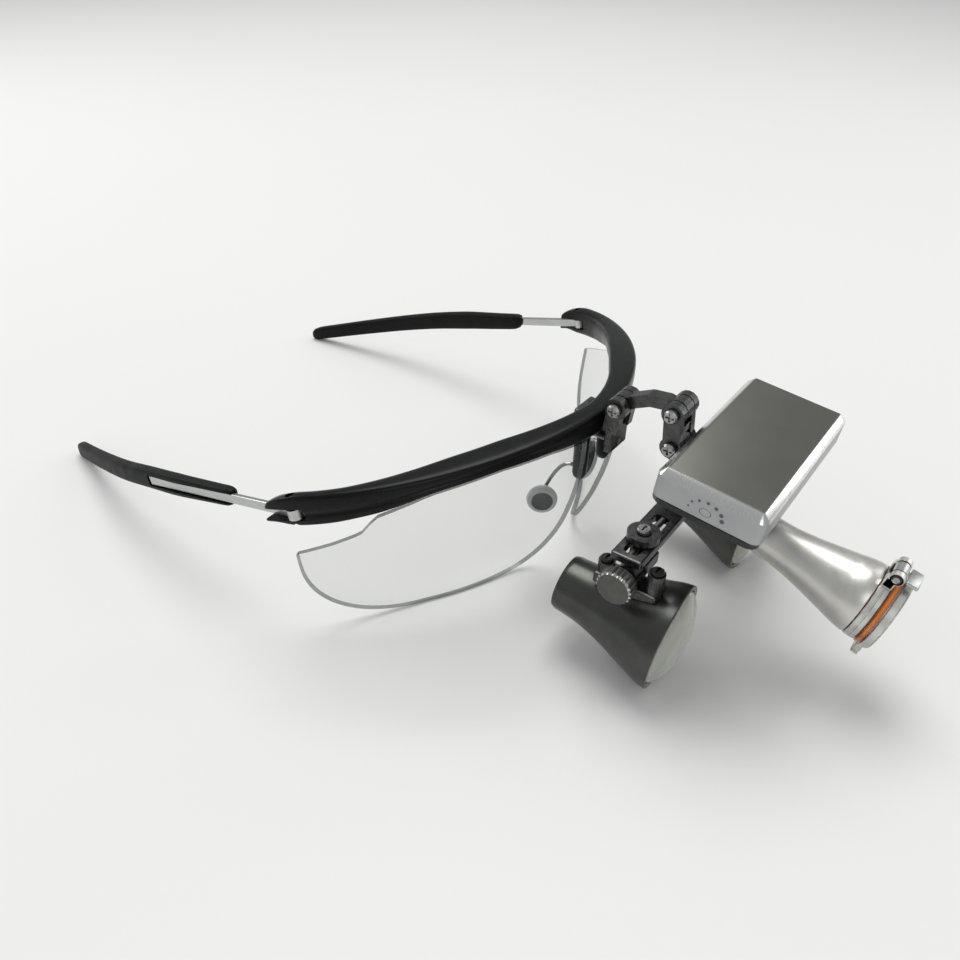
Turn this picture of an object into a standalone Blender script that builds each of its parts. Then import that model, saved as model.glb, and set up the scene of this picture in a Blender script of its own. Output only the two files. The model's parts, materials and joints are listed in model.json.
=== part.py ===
"""Flip-up dental loupes on half-rim spectacles, with a wireless headlight.

World frame: +X is the wearer's left, -Y is straight ahead of the wearer, +Z is up.
The part rests on Z = 0 on its temple tips and loupe rims.
Lengths written with MM are millimetres; Blender gets metres.
"""

from math import cos, pi, radians, sin

import bmesh
import bpy
from mathutils import Vector
from numpy import interp

MM = 0.001
SHIFT_Y = 13.525                 # mm from the hinge line to the middle of the part's length

# Spectacle frame
PLAN_HALF_WIDTH = 71.8           # brow bar centre line in plan, a superellipse
PLAN_DEPTH = 56.5
PLAN_POWER = 1.68
BAR_TOP_AT_TEMPLE = 43.0
BAR_RISE = 0.22                  # the bar climbs this much per mm towards the front
BAR_FRONT = 1.9                  # from the centre line to the outer face
LEG_X = 6.5
LENS_THICKNESS = 2.0
LENS_DROP_RADIUS = 80.0          # vertical curvature of the lenses
LENS_FORWARD = 0.8               # the lens sits ahead of the bar's centre line
LENS_FLARE = 4.0                 # and stands out further beside the temple
LENS_BOTTOM = 0.4
HINGE_X = 70.2
HINGE_Y = -8.8
HINGE_Z = 39.1
HINGE_LEAN = radians(-15)
SLOT_HEIGHT = 3.4
STRIP_HEIGHT = 2.8
STRIP_THICKNESS = 1.4

# Flip-up linkage, as (y, z) of its three hinge lines
H1 = (-61.8, 57.4)
H2 = (-77.5, 61.5)
H3 = (-78.4, 52.0)
KNUCKLE_RADIUS = 3.1
TONGUE_HALF = 1.8
EAR_INNER = 2.2
EAR_OUTER = 4.6
GAP = 0.3

# Carrier and sliders
BAR_Y = -83.0
BAR_Z = 36.4
ROD_RADIUS = 0.9
HALF_PD = 29.8
TILT_Y = -83.6
TILT_Z = 32.3

# Loupes
LOUPE_PITCH = radians(6.5)
LOUPE_YAW = radians(2.5)           # both telescopes converge on the working point
EYE_Y = -65.4
EYE_Z = 17.87
BARREL_LENGTH = 31.0
BARREL_PROFILE = ((0.0, 7.4), (1.0, 7.7), (8.0, 8.3), (15.0, 9.9), (22.0, 12.2), (28.0, 14.1), (31.0, 14.6))
BARREL_WALL = 1.2

# Headlight
LIGHT_PIVOT = (-90.0, 46.2)
BOX_SIZE = (57.0, 27.4, 8.2)
BOX_CENTRE = (1.0, -98.0, 56.0)
BOX_PITCH = radians(6.4)
BOX_WALL = 1.4
BASE_THICKNESS = 2.0
LAMP_START = (-104.5, 34.6)
LAMP_PITCH = radians(14.4)
LAMP_LENGTH = 29.0

SIDES = (("right", -1), ("left", 1))


def at(x, y, z):
    return Vector((x, y + SHIFT_Y, z)) * MM


def collection(name):
    made = bpy.data.collections.new(name)
    bpy.context.scene.collection.children.link(made)
    return made


def material(name, color, metallic, roughness, alpha=1.0):
    made = bpy.data.materials.new(name)
    made.use_nodes = True
    shader = made.node_tree.nodes["Principled BSDF"]
    shader.inputs["Base Color"].default_value = (*color, 1.0)
    shader.inputs["Metallic"].default_value = metallic
    shader.inputs["Roughness"].default_value = roughness
    shader.inputs["Alpha"].default_value = alpha
    made.diffuse_color = (*color, alpha)
    return made


def link(name, mesh, surface, parent=None):
    made = bpy.data.objects.new(name, mesh)
    PARTS.objects.link(made)
    mesh.materials.append(surface)
    made.parent = parent
    return made


def finish_mesh(name, shape):
    bmesh.ops.recalc_face_normals(shape, faces=shape.faces)
    mesh = bpy.data.meshes.new(name)
    shape.to_mesh(mesh)
    shape.free()
    return mesh


def block_mesh(name, size, bevel=0.0, segments=2):
    shape = bmesh.new()
    bmesh.ops.create_cube(shape, size=1.0)
    bmesh.ops.scale(shape, vec=Vector(size) * MM, verts=shape.verts)
    if bevel:
        bmesh.ops.bevel(shape, geom=shape.edges[:], offset=bevel * MM, segments=segments,
                        profile=0.5, affect="EDGES")
    return finish_mesh(name, shape)


def block(name, size, spot, surface, bevel=0.0, parent=None, segments=2):
    made = link(name, block_mesh(name, size, bevel, segments), surface, parent)
    made.location = spot
    return made


def rod_mesh(name, radius, length, sides=16, far_radius=None):
    shape = bmesh.new()
    far = radius if far_radius is None else far_radius
    bmesh.ops.create_cone(shape, cap_ends=True, segments=sides, radius1=radius * MM,
                          radius2=far * MM, depth=length * MM)
    return finish_mesh(name, shape)


def rod(name, radius, length, spot, axis, surface, parent=None, sides=16):
    made = link(name, rod_mesh(name, radius, length, sides), surface, parent)
    made.location = spot
    made.rotation_euler = Vector(axis).to_track_quat("Z", "Y").to_euler()
    smooth(made)
    return made


def smooth(made):
    for face in made.data.polygons:
        face.use_smooth = True
    made.data.set_sharp_from_angle(angle=radians(35))


def loft(name, sections, surface, parent=None):
    shape = bmesh.new()
    rings = [[shape.verts.new(point) for point in section] for section in sections]
    count = len(rings[0])
    for near, far in zip(rings, rings[1:]):
        for i in range(count):
            shape.faces.new((near[i], near[(i + 1) % count], far[(i + 1) % count], far[i]))
    shape.faces.new(rings[0])
    shape.faces.new(rings[-1][::-1])
    made = link(name, finish_mesh(name, shape), surface, parent)
    smooth(made)
    return made


def lathe(name, profile, surface, spot, axis, parent=None, steps=24, closed=True):
    """Turn a (radius, height) outline, in mm, about its own Z, then lay Z along axis."""
    turned = zip(profile, profile[1:] + profile[:1])
    if sum(a[0] * b[1] - b[0] * a[1] for a, b in turned) > 0:
        profile = profile[::-1]
    shape = bmesh.new()
    points = [shape.verts.new((r * MM, 0, h * MM)) for r, h in profile]
    for start, end in zip(points, points[1:]):
        shape.edges.new((start, end))
    if closed:
        shape.edges.new((points[-1], points[0]))
    mesh = bpy.data.meshes.new(name)
    shape.to_mesh(mesh)
    shape.free()
    made = link(name, mesh, surface, parent)
    made.location = spot
    made.rotation_euler = Vector(axis).to_track_quat("Z", "Y").to_euler()
    turn = made.modifiers.new("turn", "SCREW")
    turn.axis = "Z"
    turn.steps = steps
    turn.render_steps = steps
    turn.use_merge_vertices = True
    turn.merge_threshold = 0.00001
    turn.use_smooth_shade = True
    return made


def tool(made):
    """Move a helper solid out of the parts and into the cutters."""
    PARTS.objects.unlink(made)
    CUTTERS.objects.link(made)
    made.hide_render = True
    made.display_type = "WIRE"
    return made


def combine(made, helper, operation):
    tool(helper)
    step = made.modifiers.new(helper.name, "BOOLEAN")
    step.object = helper
    step.operation = operation
    step.solver = "EXACT"
    return made


def cut(made, helper):
    return combine(made, helper, "DIFFERENCE")


def weld(made, helper):
    return combine(made, helper, "UNION")


def hub(name, x_near, x_far, centre, radius, surface):
    """A round boss about a hinge line that runs along X."""
    middle = (x_near + x_far) / 2
    return rod(name, radius, abs(x_far - x_near), at(middle, *centre), (1, 0, 0), surface)


def beam(name, x_near, x_far, start, end, width, surface):
    """A flat bar between two (y, z) points."""
    span = Vector(end) - Vector(start)
    middle = (Vector(end) + Vector(start)) / 2
    made = block(name, (abs(x_far - x_near), span.length, width),
                 at((x_near + x_far) / 2, middle.x, middle.y), surface)
    made.rotation_euler = (span.angle_signed(Vector((1, 0))), 0, 0)
    return made


def plan(angle, inset=0.0):
    """Centre line of the wrap at an angle from straight ahead (90 degrees) to the temple (0)."""
    across = (PLAN_HALF_WIDTH - inset) * cos(angle) ** (2 / PLAN_POWER)
    ahead = -(PLAN_DEPTH - inset) * sin(angle) ** (2 / PLAN_POWER)
    return across, ahead


def plan_normal(angle, inset=0.0):
    before = Vector(plan(min(angle + 0.02, pi / 2), inset))
    after = Vector(plan(max(angle - 0.02, 0.02), inset))
    along = (after - before).normalized()
    return Vector((-along.y, along.x)) * -1


def bar_top(ahead):
    drop = interp(-ahead, (0, 4, 9), (3.4, 1.2, 0))
    return BAR_TOP_AT_TEMPLE - BAR_RISE * ahead - drop


def bar_height(ahead):
    return interp(-ahead, (0, 9, 18, 27, 36, 46, 52, 56.5), (5.6, 9.4, 9.0, 7.8, 5.2, 4.2, 5.0, 7.0))


def bar_section(angle, side):
    across, ahead = plan(angle)
    normal = plan_normal(angle)
    top = bar_top(ahead)
    bottom = top - bar_height(ahead)
    outer = BAR_FRONT
    inner = BAR_FRONT - interp(-ahead, (0, 12, 20, 30, 40, 48, 56.5), (4.0, 4.0, 4.6, 6.2, 8.0, 8.2, 6.4))
    soft = 1.0
    outline = ((inner, bottom + soft), (inner + soft, bottom), (outer - soft, bottom), (outer, bottom + soft),
               (outer, top - soft), (outer - soft, top), (inner + soft, top), (inner, top - soft))
    return [at(side * (across + normal.x * out), ahead + normal.y * out, z) for out, z in outline]


def brow_frame():
    steps = 17
    angles = [radians(90 - 89 * i / steps) for i in range(steps + 1)]
    right = [bar_section(angle, -1) for angle in reversed(angles)]
    left = [bar_section(angle, 1) for angle in angles[1:]]
    bar = loft("brow_frame", right + left, BLACK_GLOSS)
    for label, side in SIDES:
        hinge = hinge_frame(side)
        slot = block("slot_" + label, (12, 19.3, SLOT_HEIGHT), Vector((0, 6.1 * MM, 0)), BLACK_GLOSS,
                     parent=hinge)
        cut(bar, slot)
        hole = rod("pin_hole_" + label, 1.3, 12, Vector((0, 0, 0)), (0, 0, 1), BLACK_GLOSS, hinge, 12)
        cut(bar, hole)
        leg = block("leg_" + label, (3.4, 4.2, 17), at(side * LEG_X, -54.2, 42.1), BLACK_GLOSS, 0.8)
        weld(bar, leg)
        wire_hole = rod("wire_hole_" + label, 1.2, 5, at(side * LEG_X, -52.0, 37.4), (0, 1, 0), BLACK_GLOSS,
                        sides=8)
        cut(bar, wire_hole)
    return bar


def hinge_frame(side):
    frame = bpy.data.objects.new("temple_hinge_" + ("left" if side > 0 else "right"), None)
    PARTS.objects.link(frame)
    frame.location = at(side * HINGE_X, HINGE_Y, HINGE_Z)
    frame.rotation_euler = (HINGE_LEAN, 0, 0)
    return frame


def lens(label, side):
    """A half-rim lens that follows the brow bar's wrap and pulls in towards the cheek."""
    columns = 16
    rows = 5
    front = []
    back = []
    for i in range(columns + 1):
        t = i / columns
        spread = (1 - cos(pi * t)) / 2
        angle = radians(interp(spread, (0, 0.25, 1), (80.0, 68.0, 13.5)))
        ahead = plan(angle)[1]
        top = bar_top(ahead) - bar_height(ahead) - GAP - 0.1
        top -= interp(spread, (0, 0.74, 0.80, 1), (0, 0, 4.0, 7.0))
        power = interp(spread, (0, 0.5, 1), (3.8, 3.2, 2.7))
        belly = (1 - abs(2 * spread - 1) ** power) ** (1 / power)
        end_z = interp(spread, (0, 1), (27.0, 25.0))
        bottom = end_z - (end_z - LENS_BOTTOM) * belly
        if i in (0, columns):
            bottom = top - interp(spread, (0, 1), (15.0, 5.0))
        for_front = []
        for_back = []
        for j in range(rows + 1):
            z = top + (bottom - top) * j / rows
            inset = (bar_top(ahead) - 8 - z) ** 2 / (2 * LENS_DROP_RADIUS)
            inset -= interp(spread, (0, 0.6, 1), (LENS_FORWARD, LENS_FORWARD, LENS_FLARE))
            x, y = plan(angle, inset)
            out = plan_normal(angle, inset) * (LENS_THICKNESS / 2)
            for_front.append(at(side * (x + out.x), y + out.y, z))
            for_back.append(at(side * (x - out.x), y - out.y, z))
        front.append(for_front)
        back.append(for_back)
    sections = [front[i] + back[i][::-1] for i in range(columns + 1)]
    return loft("lens_" + label, sections, CLEAR)


def wire(name, points, radius, surface, sides=2):
    """A round wire through world points, capped and turned into a mesh."""
    curve = bpy.data.curves.new(name + "_path", "CURVE")
    curve.dimensions = "3D"
    curve.bevel_depth = radius * MM
    curve.bevel_resolution = sides
    curve.use_fill_caps = True
    run = curve.splines.new("POLY")
    run.points.add(len(points) - 1)
    for point, spot in zip(run.points, points):
        point.co = (*spot, 1)
    path = bpy.data.objects.new(name + "_path", curve)
    PARTS.objects.link(path)
    bpy.context.view_layer.update()
    mesh = bpy.data.meshes.new_from_object(path.evaluated_get(bpy.context.evaluated_depsgraph_get()))
    bpy.data.objects.remove(path)
    shape = bmesh.new()
    shape.from_mesh(mesh)
    bmesh.ops.remove_doubles(shape, verts=shape.verts, dist=0.00001)
    made = link(name, finish_mesh(name, shape), surface)
    smooth(made)
    return made


def nose_support(label, side):
    """Wire arm from the bridge leg, the pad's metal holder, and the soft pad on it."""
    seat = Vector((side * 12.0, -45.6, 28.6))
    path = []
    for i in range(7):
        t = i / 6
        path.append(at(side * (LEG_X + 4.4 * t), -52.6 + 6.4 * t, 37.2 - 7.6 * t * t + 1.4 * sin(pi * t)))
    wire("nose_pad_arm_" + label, path, 0.55, STEEL)
    lean = bpy.data.objects.new("nose_pad_seat_" + label, None)
    PARTS.objects.link(lean)
    lean.location = at(*seat)
    lean.rotation_euler = (radians(-8), side * radians(20), side * radians(-38))
    block("nose_pad_holder_" + label, (0.9, 3.0, 5.0), Vector((0, 0, -1.8 * MM)), STEEL, 0.25, lean)
    pad = lathe("nose_pad_" + label, ((0, 1.2), (2.6, 1.0), (3.8, 0.5), (4.2, 0), (3.8, -0.5), (2.6, -0.8),
                                      (0, -0.9)),
                RUBBER, Vector((side * 1.8 * MM, 0, -1.6 * MM)), (side, 0, 0), lean, 18, False)
    pad.scale = (1.0, 1.6, 1.0)


def temple(label, side):
    """Spring strip on the hinge pin, with a rubber sleeve down to the ear."""
    hinge = bpy.data.objects["temple_hinge_" + label]
    strip = block("temple_strip_" + label, (STRIP_THICKNESS, 63.0, STRIP_HEIGHT),
                  Vector((0, 33.0 * MM, 0)), SILVER, 0.25, hinge)
    eye = rod("temple_eye_" + label, 2.1, STRIP_HEIGHT, Vector((0, 0, 0)), (0, 0, 1), SILVER, hinge, 16)
    weld(strip, eye)
    cut(strip, rod("temple_bore_" + label, 1.3, 8, Vector((0, 0, 0)), (0, 0, 1), SILVER, hinge, 12))
    rod("temple_hinge_pin_" + label, 1.0, 5.6, Vector((0, 0, 0)), (0, 0, 1), STEEL, hinge, 12)
    sleeve(label, side)


def temple_line(t):
    """Temple centre line behind the hinge, t from 0 at the sleeve's front to 1 at the ear tip."""
    back = 15.5 + 100.5 * t
    across = interp(t, (0, 0.25, 0.5, 0.75, 1), (69.6, 69.8, 68.4, 63.8, 57.6))
    fall = interp(t, (0, 0.15, 0.35, 0.6, 0.8, 1), (32.6, 28.5, 23.2, 15.2, 8.6, 2.0))
    return across, back, fall


def sleeve(label, side):
    steps = 16
    sections = []
    for i in range(steps + 1):
        t = i / steps
        x, y, z = temple_line(t)
        half_height = interp(t, (0, 0.04, 0.3, 0.7, 0.96, 1), (2.2, 3.0, 3.6, 3.2, 2.9, 2.1))
        half_width = interp(t, (0, 0.04, 0.5, 0.96, 1), (1.5, 2.0, 2.2, 1.9, 1.2))
        section = []
        for k in range(10):
            turn = 2 * pi * k / 10
            section.append(at(side * (x + half_width * cos(turn)), y, z + half_height * sin(turn)))
        sections.append(section)
    made = loft("temple_sleeve_" + label, sections, RUBBER)
    hinge = bpy.data.objects["temple_hinge_" + label]
    channel = block("strip_channel_" + label, (STRIP_THICKNESS + 0.6, 43.1, STRIP_HEIGHT + 0.6),
                    Vector((0, 43.55 * MM, 0)), RUBBER, parent=hinge)
    cut(made, channel)
    window = block("strip_window_" + label, (4.0, 39.0, STRIP_HEIGHT + 0.6),
                   Vector((side * 2.0 * MM, 41.4 * MM, 0)), RUBBER, parent=hinge)
    cut(made, window)
    return made


def bridge_bracket():
    """Clamp plate in front of the bridge with two ears for the first hinge."""
    plate = block("bridge_bracket", (2 * EAR_OUTER, 2.4, 13.0), at(0, -60.6, 50.0), GUNMETAL, 0.5)
    for label, side in SIDES:
        weld(plate, hub("bracket_ear_" + label, side * EAR_INNER, side * EAR_OUTER, H1, KNUCKLE_RADIUS, GUNMETAL))
        rise = beam("bracket_rise_" + label, side * EAR_INNER, side * EAR_OUTER, (-60.7, 50.0),
                    (H1[0] + 0.2, H1[1]), 4.2, GUNMETAL)
        weld(plate, rise)
        pin_bore("bracket_bore_" + label, plate, side, H1)
    cut(plate, block("bracket_notch", (2 * EAR_INNER, 9, 9), at(0, -62.0, 57.6), GUNMETAL))
    back = block("bracket_clamp_plate", (9.0, 1.8, 9.5), at(0, -50.5, 48.6), GUNMETAL, 0.4)
    for made, y in ((plate, -60.6), (back, -50.5)):
        cut(made, rod(made.name + "_screw_hole", 1.4, 6, at(0, y, 45.4), (0, 1, 0), GUNMETAL, sides=12))
    screw("bracket_screw", at(0, -50.5, 45.4), (0, 1, 0), 1.9, 1.1, 11.4, 1.3)


def pin_bore(name, made, side, centre):
    cut(made, hub(name, side * (EAR_INNER - 1), side * (EAR_OUTER + 1), centre, 1.5, GUNMETAL))


def screw(name, spot, axis, head, shank, length, head_height, socket=True):
    """Cap screw: the head's underside sits GAP above spot and the shank runs back along the axis."""
    foot = Vector(axis).normalized()
    made = lathe(name, ((0, head_height + 0.9 + GAP), (head * 0.8, head_height + 0.9 + GAP),
                        (head, head_height + 0.6 + GAP), (head, 0.9 + GAP), (shank, 0.9 + GAP),
                        (shank, -length), (0, -length)), STEEL, spot, foot, steps=12, closed=False)
    if socket:
        top = head_height + 0.9 + GAP
        bit = block(name + "_slot", (head * 1.2, head * 0.4, 1.2), spot + foot * top * MM, STEEL)
        bit.rotation_euler = foot.to_track_quat("Z", "Y").to_euler()
        cut(made, bit)
    return made


def hinge_screw(name, centre):
    """Pivot screw across both ears, with its head on the wearer's right."""
    made = lathe(name, ((0, 6.2), (1.5, 6.2), (1.9, 5.8), (1.9, EAR_OUTER + GAP), (1.2, EAR_OUTER + GAP),
                        (1.2, -EAR_OUTER - 0.4), (0, -EAR_OUTER - 0.4)), STEEL, at(0, *centre), (-1, 0, 0),
                 steps=16, closed=False)
    for turn, label in ((0, "_cross_a"), (pi / 2, "_cross_b")):
        bit = block(name + label, (1.4, 2.4, 0.6), at(-6.3, *centre), STEEL)
        bit.rotation_euler = (turn, 0, 0)
        cut(made, bit)
    return made


def links():
    upper = hub("upper_link", -TONGUE_HALF, TONGUE_HALF, H1, KNUCKLE_RADIUS, GUNMETAL)
    crest = ((-65.2, 59.6), (-69.6, 61.7), (-74.0, 62.2))
    route = (H1,) + crest + (H2,)
    for i, (start, end) in enumerate(zip(route, route[1:])):
        weld(upper, beam(f"upper_beam_{i}", -TONGUE_HALF, TONGUE_HALF, start, end, 3.4, GUNMETAL))
        if i:
            weld(upper, hub(f"upper_bend_{i}", -TONGUE_HALF, TONGUE_HALF, start, 1.7, GUNMETAL))
    weld(upper, hub("upper_end", -TONGUE_HALF, TONGUE_HALF, H2, KNUCKLE_RADIUS, GUNMETAL))
    for label, centre in (("front", H2), ("rear", H1)):
        cut(upper, hub("upper_bore_" + label, -4, 4, centre, 1.5, GUNMETAL))
    hinge_screw("hinge_screw_1", H1)

    lower = hub("lower_link", -EAR_OUTER, -EAR_INNER, H2, KNUCKLE_RADIUS, GUNMETAL)
    weld(lower, hub("lower_ear_b", EAR_INNER, EAR_OUTER, H2, KNUCKLE_RADIUS, GUNMETAL))
    for label, side in SIDES:
        weld(lower, hub("lower_foot_" + label, side * EAR_INNER, side * EAR_OUTER, H3, KNUCKLE_RADIUS, GUNMETAL))
        weld(lower, beam("lower_side_" + label, side * EAR_INNER, side * EAR_OUTER, H2, H3, 4.6, GUNMETAL))
    middle = ((H2[0] + H3[0]) / 2, (H2[1] + H3[1]) / 2)
    weld(lower, block("lower_web", (9.0, 4.2, 2.2), at(0, *middle), GUNMETAL))
    for label, centre in (("top", H2), ("foot", H3)):
        cut(lower, hub("lower_bore_" + label, -7, 7, centre, 1.5, GUNMETAL))
    hinge_screw("hinge_screw_2", H2)


def carrier():
    """Slotted crossbar with the last knuckle, a guide rod in each slot and ears for the headlight."""
    bar = block("crossbar", (67.0, 8.4, 2.4), at(0, BAR_Y, BAR_Z), GUNMETAL, 0.5)
    weld(bar, beam("crossbar_post", -TONGUE_HALF, TONGUE_HALF, (-82.0, 36.6), H3, 4.2, GUNMETAL))
    weld(bar, hub("crossbar_knuckle", -TONGUE_HALF, TONGUE_HALF, H3, KNUCKLE_RADIUS, GUNMETAL))
    cut(bar, hub("crossbar_bore", -4, 4, H3, 1.5, GUNMETAL))
    for label, side in SIDES:
        ear = beam("light_ear_" + label, side * 5.0, side * 8.0, (-84.0, 36.8), LIGHT_PIVOT, 4.4, GUNMETAL)
        weld(bar, ear)
        weld(bar, hub("light_boss_" + label, side * 5.0, side * 8.0, LIGHT_PIVOT, 2.6, GUNMETAL))
        cut(bar, hub("light_ear_bore_" + label, side * 4.0, side * 9.0, LIGHT_PIVOT, 1.5, GUNMETAL))
        cut(bar, block("slot_" + label, (18.6, 4.4, 6), at(side * 22.3, BAR_Y, BAR_Z), GUNMETAL, 1.4, segments=2))
        cut(bar, hub("rod_socket_" + label, side * 10.5, side * 32.9, (BAR_Y, BAR_Z), ROD_RADIUS + 0.2, GUNMETAL))
        hub("guide_rod_" + label, side * 10.8, side * 32.6, (BAR_Y, BAR_Z), ROD_RADIUS, STEEL)
    hinge_screw("hinge_screw_3", H3)


def slider(label, side):
    """Stem through the crossbar's slot, with a clamp disc above and the tilt lug below."""
    x = side * 24.6
    made = block("slider_block_" + label, (5.4, 3.8, 8.6), at(x, BAR_Y, BAR_Z - 1.0), GUNMETAL)
    weld(made, rod("slider_disc_" + label, 4.2, 1.9, at(x, BAR_Y, BAR_Z + 2.5), (0, 0, 1), GUNMETAL, sides=24))
    weld(made, block("slider_foot_" + label, (7.4, 6.4, 3.6), at(side * 25.2, TILT_Y, TILT_Z - 0.6), GUNMETAL, 0.5))
    cut(made, hub("slider_bore_" + label, side * 20.0, side * 30.0, (BAR_Y, BAR_Z), ROD_RADIUS + GAP, GUNMETAL))
    cut(made, hub("slider_tilt_bore_" + label, side * 24.0, side * 30.0, (TILT_Y, TILT_Z), 1.4, GUNMETAL))
    top = at(x, BAR_Y, BAR_Z + 3.45)
    cut(made, rod("lock_hole_" + label, 1.4, 2.2, top, (0, 0, 1), GUNMETAL, sides=12))
    screw("slider_lock_screw_" + label, top - Vector((0, 0, 0.9 * MM)), (0, 0, 1), 1.9, 1.1, -0.1, 0.9)


def knob(label, side):
    """Knurled thumb knob with the pivot shank through both lugs."""
    outline = ((0, 14.6), (4.2, 14.6), (4.8, 14.0), (4.8, 11.0), (4.2, 10.4), (1.1, 10.4), (1.1, 0), (0, 0))
    made = lathe("tilt_knob_" + label, outline, STEEL, at(side * 25.6, TILT_Y, TILT_Z), (side, 0, 0),
                 steps=20, closed=False)
    for i in range(8):
        turn = 2 * pi * i / 8
        groove = hub(f"knurl_{label}_{i}", side * 34.0, side * 42.0,
                     (TILT_Y + 5.1 * cos(turn), TILT_Z + 5.1 * sin(turn)), 0.6, STEEL)
        cut(made, groove)
    return made


def barrel_outline(grow=0.0):
    return [(radius + grow, -along) for along, radius in BARREL_PROFILE]


def loupe(label, side):
    """Bell-shaped telescope with its two lenses, hung from the saddle by two cap screws."""
    x = side * HALF_PD
    eye = at(x, EYE_Y, EYE_Z)
    aim = Vector((side * sin(LOUPE_YAW), cos(LOUPE_PITCH), sin(LOUPE_PITCH))).normalized()
    outer = barrel_outline()
    inner = [(radius - BARREL_WALL, height) for radius, height in reversed(outer)]
    lathe("loupe_barrel_" + label, outer + inner, GUNMETAL, eye, aim, steps=22)
    front = eye - aim * (BARREL_LENGTH * MM)
    reach = BARREL_PROFILE[-1][1] - BARREL_WALL - GAP
    lathe("objective_lens_" + label, ((0, -4.2), (reach * 0.35, -3.7), (reach * 0.7, -2.2), (reach * 0.98, 0.2),
                                      (reach * 0.93, 2.2), (0, 2.2))[::-1], CLEAR, front, aim, steps=20,
          closed=False)
    near = BARREL_PROFILE[0][1] - BARREL_WALL - GAP - 0.1
    lathe("eyepiece_lens_" + label, ((0, -0.9), (near * 0.6, -1.2), (near, -1.6), (near, -3.0), (0, -3.0)),
          CLEAR, eye, aim, steps=20, closed=False)

    made = block("loupe_saddle_" + label, (6.6, 17.4, 3.4), at(side * 30.4, -83.6, 27.4), GUNMETAL, 0.6)
    weld(made, hub("saddle_lug_" + label, side * 29.3, side * 33.4, (TILT_Y, TILT_Z), 2.6, GUNMETAL))
    weld(made, beam("saddle_neck_" + label, side * 29.3, side * 33.4, (TILT_Y, 27.0), (TILT_Y, TILT_Z), 6.0,
                    GUNMETAL))
    for name, y, top in (("rear", -77.2, 32.3), ("front", -90.6, 34.8)):
        tall = top - 26.4
        weld(made, rod(f"saddle_post_{name}_{label}", 2.2, tall, at(side * 31.0, y, top - tall / 2), (0, 0, 1),
                       GUNMETAL))
        cut(made, rod(f"saddle_hole_{name}_{label}", 1.4, 2.8, at(side * 31.0, y, top - 0.2), (0, 0, 1),
                      GUNMETAL, sides=12))
        screw(f"saddle_screw_{name}_{label}", at(side * 31.0, y, top - 0.9), (0, 0, 1), 1.8, 1.1, 0.1, 0.7)
    cut(made, hub("saddle_bore_" + label, side * 28.0, side * 35.0, (TILT_Y, TILT_Z), 1.4, GUNMETAL))
    body = lathe("barrel_room_" + label, [(0, 0.5)] + barrel_outline(GAP) + [(0, -31.0)], GUNMETAL, eye, aim,
                 steps=22, closed=False)
    cut(made, body)


def headlight():
    """Battery box over the crossbar and the lamp cone in front of it."""
    tilt = bpy.data.objects.new("box_frame", None)
    PARTS.objects.link(tilt)
    tilt.location = at(*BOX_CENTRE)
    tilt.rotation_euler = (BOX_PITCH, 0, 0)
    width, depth, height = BOX_SIZE
    cover = block("light_top_cover", BOX_SIZE, Vector((0, 0, 0)), ALUMINIUM, 0.0, tilt)
    step = cover.modifiers.new("edge", "BEVEL")
    step.width = 1.9 * MM
    step.segments = 2
    cut(cover, block("cover_room", (width - 2 * BOX_WALL, depth - 2 * BOX_WALL, height),
                     Vector((0, 0, -BOX_WALL * 1.4 * MM)), ALUMINIUM, 0.0, tilt))
    base_z = -height / 2 - GAP - BASE_THICKNESS / 2
    base = block("light_base_housing", (width - 1.0, depth - 1.0, BASE_THICKNESS),
                 Vector((0, 0, base_z * MM)), BLACK_SATIN, 0.6, tilt)
    rim = block("base_rim", (width - 2 * BOX_WALL - 1.0, depth - 2 * BOX_WALL - 1.0, 2.4),
                Vector((0, 0, (base_z + 1.6) * MM)), BLACK_SATIN, 0.0, tilt)
    weld(base, rim)
    block("battery", (36.0, 19.0, 3.2), Vector((-6.0 * MM, 0, -0.4 * MM)), BATTERY_WRAP, 0.5, tilt)
    block("control_board", (10.0, 18.0, 1.2), Vector((19.0 * MM, 0, 0.2 * MM)), BOARD, 0.0, tilt)

    bracket = block("light_bracket", (9.2, 5.2, 6.6), at(0, -90.4, 45.4), GUNMETAL, 0.5)
    y, z = LAMP_START
    weld(bracket, beam("bracket_arm", -3.6, 3.6, (-89.4, 44.6), (y + 2.0, z + 2.0), 3.6, GUNMETAL))
    cut(bracket, hub("bracket_bore", -7, 7, LIGHT_PIVOT, 1.5, GUNMETAL))
    lathe("light_pivot_screw", ((0, 9.8), (1.9, 9.8), (2.2, 9.4), (2.2, 8.3), (1.2, 8.3), (1.2, -8.4), (0, -8.4)),
          STEEL, at(0, *LIGHT_PIVOT), (-1, 0, 0), steps=16, closed=False)
    lamp(bracket)


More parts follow.
